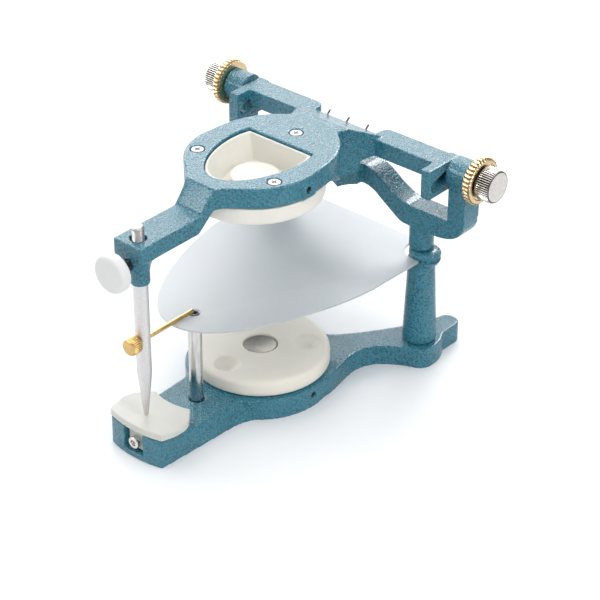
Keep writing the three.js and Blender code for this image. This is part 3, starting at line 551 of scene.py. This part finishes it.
def make_condyle_ball(side, word, material):
    """Ball with flat ends and a bore for the screw's nose."""
    node = "condyle_ball_" + word
    inner, outer = ends(node, X, side)
    radius = radius_of(node, X)
    centre = (inner + outer) / 2
    half = (outer - inner) / 2
    rows = 12
    profile = []
    for i in range(rows + 1):
        height = -half + 2 * half * i / rows
        profile.append((math.sqrt(radius**2 - height**2), centre + height))
    bore = 1.6 * MM
    profile = [(bore, inner)] + profile + [(bore, outer)]
    ball = turned(node + "_fine", profile, (side, 0, 0), axis_place(node, X), segments=64)
    stand_for(ball, node, material)


def thread(radius, low, high, pitch, depth):
    """Rows of a threaded stretch, one flat crest to a pitch."""
    crest_start = pitch * 0.4
    crest_end = pitch * 0.6
    rows = []
    for i in range(int((high - low) / pitch)):
        root = low + pitch * i
        rows.append((radius - depth, root))
        rows.append((radius, root + crest_start))
        rows.append((radius, root + crest_end))
    return rows


def make_pin(satin, polished):
    """The pin's long tapered shaft, and its bright threaded stub above the arm."""
    node = "incisal_pin"
    bottom, top = ends(node, Z, 1)
    radius = radius_of(node, Z)
    cone_top = 40.5 * MM
    shoulder = 102.4 * MM
    stub = 2.6 * MM
    tip = 1.0 * MM
    tip_round = 0.25 * MM
    chamfer = 0.3 * MM
    crown_chamfer = 0.7 * MM
    profile = [
        (tip - tip_round, bottom),
        (tip, bottom + tip_round),
        (radius - 0.12 * MM, cone_top - 1.5 * MM),
        (radius, cone_top + 0.5 * MM),
        (radius, shoulder - chamfer),
        (radius - chamfer, shoulder),
    ]
    place = axis_place(node, Z)
    stand_for(turned("incisal_pin_fine", profile, UP, place, segments=80), node, satin)
    crown = top - crown_chamfer
    rows = thread(stub, shoulder - 0.2 * MM, crown, STUD_PITCH, 0.25 * MM)
    rows += [(stub, crown), (stub - crown_chamfer, top)]
    bright = turned("incisal_pin_stub", rows, UP, place, segments=64)
    dress(bright, polished)
    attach(bright, body_of_node(node))


def make_front_post(bright, dark):
    """Polished post whose narrow top, in the hole of the sheet, is tapped for a screw; that top is
    dressed near-black as painted shade in the hole.
    """
    node = "front_post"
    bottom, top = ends(node, Z, 1)
    radius = radius_of(node, Z)
    gap = 0.3 * MM
    chamfer = 0.3 * MM
    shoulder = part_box("occlusal_plane_sheet")[0].z - gap
    place = axis_place(node, Z)
    profile = rounded(radius, bottom, shoulder, 0.25 * MM)
    stand_for(turned("front_post_fine", profile, UP, place, segments=80), node, bright)
    stub = 2.3 * MM
    bore = 1.5 * MM
    bore_depth = 3 * MM
    rows = [(stub, shoulder - gap), (stub, top - chamfer), (stub - chamfer, top)]
    rows += [(bore, top), (bore, top - bore_depth)]
    shaded_top = turned("front_post_top", rows, UP, place, segments=64)
    # Painted shade: the top and its bore are dressed near-black to stand for the shade in the sheet's
    # hole
    dress(shaded_top, dark)
    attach(shaded_top, body_of_node(node))


def make_magnet(node, direction, material):
    """Disc magnet with a fine step round its face."""
    near, far = ends(node, Z, direction)
    radius = radius_of(node, Z)
    profile = rounded(radius, near, far, HEAD_RIM)
    profile += [(radius - 0.7 * MM, far), (radius - 0.9 * MM, far - 0.1 * MM)]
    disc = turned(node + "_fine", profile, (0, 0, direction), axis_place(node, Z))
    stand_for(disc, node, material)


def make_plate_screw(level, number, material):
    """Pan head with a small cross recess, on the outer face of its ring."""
    node = f"{level}_plate_screw_{number}"
    direction = 1 if level == "upper" else -1
    foot, face = ends(node, Z, direction)
    radius = radius_of(node, Z)
    shank = 1.4 * MM
    under = face - 1.7 * MM
    profile = [(shank, foot), (shank, under), (radius, under)]
    profile += upper_rim(radius, face, HEAD_RIM)
    profile += ringed_face(radius - HEAD_RIM, face, rings=18)
    place = axis_place(node, Z)
    screw = turned(node + "_fine", profile, (0, 0, direction), place, segments=72)
    recess = cross_relief(half_length=1.25 * MM, half_width=0.3 * MM, depth=0.7 * MM)
    press_face(screw, place, direction, face, recess)
    stand_for(screw, node, material)


def press_face(piece, place, direction, face, relief):
    """Pushes the flat end face of an upright piece in by relief(x, y)."""
    for vertex in piece.data.vertices:
        if abs(vertex.co.z * direction - face) < TOUCHING:
            vertex.co.z -= direction * relief(vertex.co.x - place.x, vertex.co.y - place.y)


def make_table_screw(material):
    """Socket head screw in the front face of the base."""
    node = "guide_table_screw"
    rear, face = ends(node, Y, -1)
    radius = radius_of(node, Y)
    under = face - 2.5 * MM
    shank = 1.25 * MM
    rim = radius - HEAD_RIM
    socket = 1.45 * MM
    socket_depth = 1.4 * MM
    profile = [(shank, rear), (shank, under), (radius, under)]
    profile += upper_rim(radius, face, HEAD_RIM)
    profile += [(rim - 0.5 * MM, face), (socket, face), (socket - 0.1 * MM, face - 1.3 * MM)]
    profile += [(0.1 * MM, face - socket_depth)]
    screw = turned(node + "_fine", profile, TO_FRONT, axis_place(node, Y), segments=72)
    stand_for(screw, node, material)


def make_pointer(material):
    """The slim rod that slides through the pin, and its knurled head."""
    node = "pointer_rod"
    rear, front = ends(node, Y, -1)
    profile = rounded(radius_of(node, Y), rear, front, 0.3 * MM)
    rod = turned("pointer_rod_fine", profile, TO_FRONT, axis_place(node, Y), segments=48)
    stand_for(rod, node, material)
    node = "pointer_head"
    rear, front = ends(node, Y, -1)
    radius = radius_of(node, Y)
    edge = 0.5 * MM
    profile = [
        (1.3 * MM, rear),
        (radius - edge, rear),
        (radius, rear + edge, 1.0),
        (radius, front - edge * 1.3, 1.0),
        (radius - edge * 0.6, front - edge * 0.5, 0.1),
        (radius - edge * 1.4, front),
    ]
    place = axis_place(node, Y)
    segments = POINTER_KNURLS * 8
    head = turned("pointer_head_fine", profile, TO_FRONT, place, segments, POINTER_KNURLS, 0.4 * MM)
    stand_for(head, node, material)


def make_clamp_stud(material):
    """Threaded stud between the arm and the white knob."""
    node = "clamp_stud"
    rear, front = ends(node, Y, -1)
    radius = radius_of(node, Y)
    depth = 0.3 * MM
    rows = thread(radius, rear, front, STUD_PITCH, depth) + [(radius - depth, front)]
    threaded = turned(node + "_fine", rows, TO_FRONT, axis_place(node, Y), segments=48)
    stand_for(threaded, node, material)


def make_bore_shade_liner(level, material):
    """Thread liner in the side bore of a ring, outside its grub screw, dressed near-black as painted
    shade inside the bore.
    """
    node = level + "_grub_screw"
    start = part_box(node)[1].x + 0.2 * MM
    turns = int((BORE_MOUTH[level] - start) / STUD_PITCH)
    mouth = start + turns * STUD_PITCH
    wall = 1.5 * MM
    root = wall - 0.05 * MM
    crest = wall - 0.3 * MM
    rows = [(wall, mouth), (wall, start)]
    for i in range(turns):
        rows.append((root, start + STUD_PITCH * i))
        rows.append((crest, start + STUD_PITCH * (i + 0.5)))
    rows.append((root, mouth))
    rows.reverse()
    place = axis_place(node, X)
    liner = turned(level + "_bore_shade_liner", rows, (1, 0, 0), place, segments=40, hollow=True)
    # Painted shade: the liner is dressed near-black to stand for the shade deep in the bore
    dress(liner, material)
    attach(liner, body_of_node(node))


def make_hidden_screws(material):
    """Socket screws sunk in their holes keep their CAD shape."""
    for node in ("post_screw_left", "post_screw_right", "lower_grub_screw", "upper_grub_screw"):
        dress(frame["nodes"][node], material)


def make_hooks(material):
    """Fine straight wires that lean back out of the recess, with rounded ends."""
    for number in (1, 2, 3):
        node = f"elastic_hook_{number}"
        low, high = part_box(node)
        centre = middle(node).x
        radius = 0.42 * MM
        start = Vector((centre, low.y + 0.6 * MM, low.z + 0.3 * MM))
        end = Vector((centre, high.y - 0.4 * MM, high.z - 0.3 * MM))
        length = (end - start).length
        direction = (end - start).normalized()
        profile = rounded(radius, 0, length, 0.2 * MM)
        wire = turned(node + "_fine", profile, direction, start, segments=24)
        stand_for(wire, node, material)


# ---------------------------------------------------------------- studio
def area_light(name, place, size, power, glossy_only=False):
    light = bpy.data.lights.new(name, "AREA")
    light.shape = "RECTANGLE"
    light.size, light.size_y = size
    light.energy = power
    lamp = bpy.data.objects.new(name, light)
    lamp.location = place
    lamp.rotation_euler = (LIGHT_AIM - Vector(place)).to_track_quat("-Z", "Y").to_euler()
    lamp.visible_diffuse = not glossy_only
    scene.collection.objects.link(lamp)


def make_world():
    """A white backdrop, in a room that is bright overhead and dim at eye level."""
    world = bpy.data.worlds.new("studio")
    world.use_nodes = True
    nodes = world.node_tree.nodes
    links = world.node_tree.links
    direction = nodes.new("ShaderNodeTexCoord").outputs["Generated"]
    split = nodes.new("ShaderNodeSeparateXYZ")
    rise = nodes.new("ShaderNodeMapRange")
    rise.inputs["From Min"].default_value = 0.0
    rise.inputs["From Max"].default_value = OVERHEAD_RISE
    rise.inputs["To Min"].default_value = EYE_LEVEL_GLOW
    rise.inputs["To Max"].default_value = OVERHEAD_GLOW
    links.new(direction, split.inputs["Vector"])
    links.new(split.outputs["Z"], rise.inputs["Value"])
    room = nodes["Background"]
    room.inputs["Color"].default_value = (0.96, 0.98, 1, 1)
    links.new(rise.outputs["Result"], room.inputs["Strength"])
    backdrop = nodes.new("ShaderNodeBackground")
    backdrop.inputs["Color"].default_value = (1, 1, 1, 1)
    choice = nodes.new("ShaderNodeMixShader")
    links.new(nodes.new("ShaderNodeLightPath").outputs["Is Camera Ray"], choice.inputs[0])
    links.new(room.outputs[0], choice.inputs[1])
    links.new(backdrop.outputs[0], choice.inputs[2])
    links.new(choice.outputs[0], nodes["World Output"].inputs["Surface"])
    scene.world = world


def make_studio():
    floor_mesh = bpy.data.meshes.new("floor")
    half = FLOOR_HALF
    corners = [(-half, -half, 0), (half, -half, 0), (half, half, 0), (-half, half, 0)]
    floor_mesh.from_pydata(corners, [], [(0, 1, 2, 3)])
    floor = object_from("floor", floor_mesh)
    dress(floor, floor_surface())

    make_world()
    area_light("overhead", place=(0, 0, 1.2), size=(1.9, 1.9), power=13)
    area_light("front_fill", place=(0.2, -1.2, 0.4), size=(0.9, 0.6), power=1.5)
    area_light("right_fill", place=(1.2, -0.1, 0.6), size=(0.6, 0.6), power=4.5)
    area_light("left_fill", place=(-1.1, -0.3, 0.5), size=(0.6, 0.6), power=3)
    area_light("back_mirror", place=(-0.8, 0.7, 0.75), size=(1.8, 1.4), power=31, glossy_only=True)
    area_light("back_glint", place=(-0.35, 0.95, 0.8), size=(0.3, 0.3), power=7, glossy_only=True)
    area_light("left_glint", place=(-0.7, -1.0, 0.6), size=(0.4, 0.5), power=8, glossy_only=True)
    area_light("right_glint", place=(1.2, 0.3, 0.6), size=(0.3, 0.5), power=6, glossy_only=True)
    scene.view_settings.view_transform = "Standard"


def make_camera():
    level = math.cos(ELEVATION)
    away = Vector((math.sin(AZIMUTH) * level, -math.cos(AZIMUTH) * level, math.sin(ELEVATION)))
    camera = bpy.data.cameras.new("camera")
    camera.lens = LENS
    holder = bpy.data.objects.new("camera", camera)
    holder.location = TARGET + away * DISTANCE
    holder.rotation_euler = (-away).to_track_quat("-Z", "Y").to_euler()
    scene.collection.objects.link(holder)
    scene.camera = holder


# ---------------------------------------------------------------- assembly
make_camera()
make_studio()

paint = hammered_paint()
sheet = clear_sheet()
white = moulded_plastic(
    "warm_white",
    colour=(0.82, 0.80, 0.735),
    shade=(0.85, 0.83, 0.765),
    roughness=0.42,
)
# Painted shade: a darker copy of the white plastic, toned down for the strong light that falls on the
# guide table
shaded_table_white = moulded_plastic(
    "shaded_table_white",
    colour=(0.64, 0.635, 0.59),
    shade=(0.67, 0.665, 0.62),
    roughness=0.45,
)
ivory = moulded_plastic(
    "lower_white",
    colour=(0.85, 0.80, 0.71),
    shade=(0.88, 0.83, 0.74),
    roughness=0.4,
)
knob = moulded_plastic(
    "cool_white",
    colour=(0.78, 0.775, 0.77),
    shade=(0.81, 0.805, 0.8),
    roughness=0.4,
)
brass = turned_metal(
    "brass",
    colour=(0.7, 0.49, 0.22),
    shade=(0.55, 0.36, 0.14),
    roughness=0.27,
    grain=1.2,
    stretch=(1.0, 0.25, 1.0),
)
nickel = turned_metal(
    "nickel",
    colour=NICKEL_COLOUR,
    shade=(0.62, 0.6, 0.58),
    roughness=0.25,
    grain=1.0,
    stretch=(1.0, 0.5, 0.5),
)
stainless = turned_metal(
    "stainless",
    colour=(0.74, 0.73, 0.72),
    shade=(0.5, 0.5, 0.5),
    roughness=0.2,
    grain=1.4,
    stretch=(1.0, 1.0, 0.12),
)
# Painted shade: the screw steel is darkened well below bare steel, to tone down the bright overhead
# reflection on the heads
screws = turned_metal(
    "shaded_screw_steel",
    colour=(0.3, 0.29, 0.3),
    shade=(0.2, 0.195, 0.2),
    roughness=0.45,
    grain=1.0,
)
stud = turned_metal(
    "stud_steel",
    colour=(0.55, 0.54, 0.52),
    shade=(0.38, 0.37, 0.36),
    roughness=0.3,
    grain=1.4,
)
satin = turned_metal(
    "satin_steel",
    colour=(0.74, 0.725, 0.72),
    shade=(0.62, 0.61, 0.61),
    roughness=0.42,
    grain=1.6,
    stretch=(0.5, 0.5, 1.0),
)
# Dark steel: the real colour of the black grub screws, also used as painted shade for the bore liners
# and the front post's top
dark = turned_metal(
    "dark_steel",
    colour=(0.09, 0.09, 0.1),
    shade=(0.03, 0.03, 0.035),
    roughness=0.4,
    grain=1.5,
)

make_castings(paint)
make_mouldings(white, ivory, shaded_table_white, knob)
make_sheet(sheet)
for side, word in ((-1, "left"), (1, "right")):
    make_lock_nut(side, word)
    make_condyle_screw(side, word)
    make_condyle_ball(side, word, stainless)
make_pin(satin, stud)
make_front_post(stainless, dark)
for node, direction in (("lower_magnet", 1), ("upper_magnet", -1)):
    face = faced_metal(node, middle(node), MAGNET_COLOUR, MAGNET_SHADE, 0.4)
    make_magnet(node, direction, face)
for level in ("lower", "upper"):
    for number in (1, 2, 3):
        make_plate_screw(level, number, screws)
make_table_screw(nickel)
make_pointer(brass)
make_clamp_stud(dark)
make_hidden_screws(dark)
for level in ("lower", "upper"):
    make_bore_shade_liner(level, dark)
make_hooks(dark)
